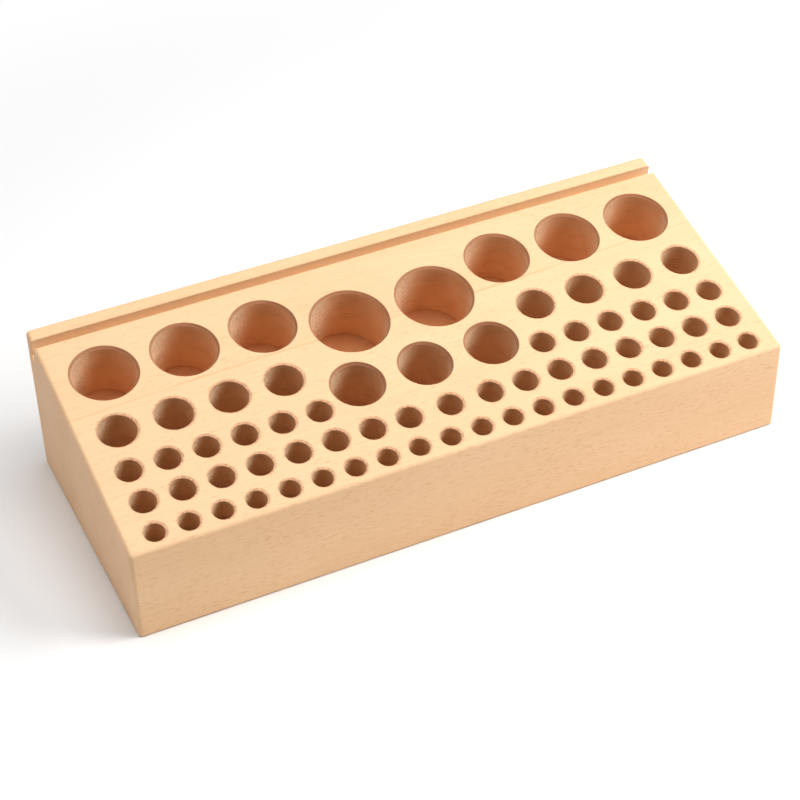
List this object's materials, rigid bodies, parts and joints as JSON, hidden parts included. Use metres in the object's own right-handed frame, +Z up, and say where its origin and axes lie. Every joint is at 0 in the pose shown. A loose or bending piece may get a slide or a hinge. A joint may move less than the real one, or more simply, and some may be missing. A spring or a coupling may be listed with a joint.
{
  "type": "wooden tool rack",
  "caption": "Wedge-shaped beech block with rows of round holes of several sizes and a groove along the back, for standing small tools upright on a bench.",
  "frame": {"origin": "middle of the base, on the surface that the rack stands on", "axes": "+X along the rack to the right, +Y from the low front to the high back, +Z up"},
  "size_m": [0.27, 0.11, 0.0646],
  "materials": {
    "beech_front": "sanded bare beech, satin",
    "beech_rear": "sanded bare beech, satin"
  },
  "bodies": {
    "root": {"front_stave": "beech_front", "rear_stave": "beech_rear"}
  },
  "joints": []
}
